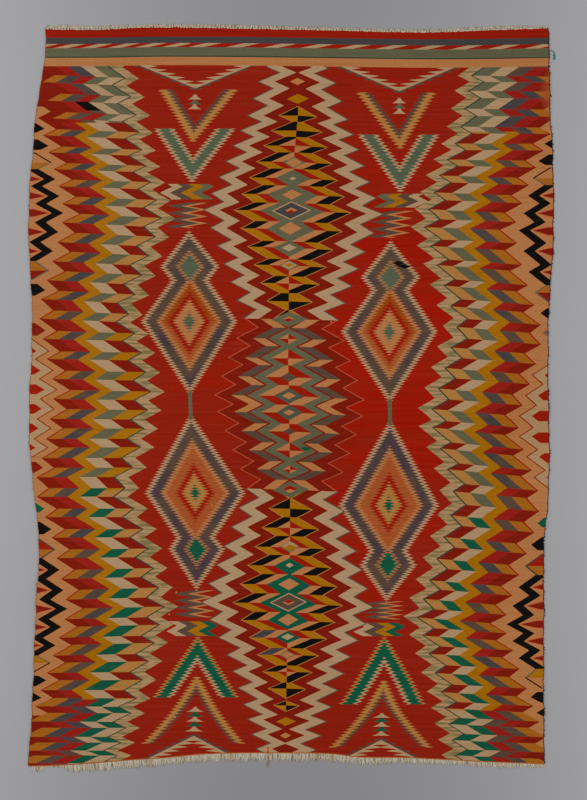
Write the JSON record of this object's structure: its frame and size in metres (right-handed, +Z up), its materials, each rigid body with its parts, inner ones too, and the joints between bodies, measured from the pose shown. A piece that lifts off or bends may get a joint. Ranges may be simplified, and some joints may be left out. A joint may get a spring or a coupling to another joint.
{
  "type": "woven floor rug",
  "caption": "Flat tapestry-woven wool floor rug, red ground with serrated zigzags and stepped diamonds, short cotton warp fringes and cord-bound sides.",
  "frame": {"origin": "on the cloth's underside, at the middle of the rug", "axes": "+X across the rug's width, +Y along its length towards the end with the striped border, +Z up from the floor"},
  "size_m": [1.5173, 2.1563, 0.003],
  "materials": {
    "woven_red_wool": "weft-faced tapestry weave, matt wool, patterned in red, ochre, peach, cream, sage, slate and black",
    "top_cotton_warp": "twisted cotton warp ends, undyed, soiled",
    "bottom_cotton_warp": "twisted cotton warp ends, undyed, soiled",
    "peach_cord_wool": "plied wool cord, matt",
    "dark_cord_wool": "plied wool cord, matt, worn to tufts",
    "teal_tail_wool": "plied wool yarn, matt, fraying at its end"
  },
  "bodies": {
    "root": {"woven_cloth": "woven_red_wool", "top_warp_fringe": "top_cotton_warp", "bottom_warp_fringe": "bottom_cotton_warp", "left_selvedge_cord": "peach_cord_wool", "right_selvedge_cord": "dark_cord_wool", "corner_yarn_tail": "teal_tail_wool"}
  },
  "joints": []
}
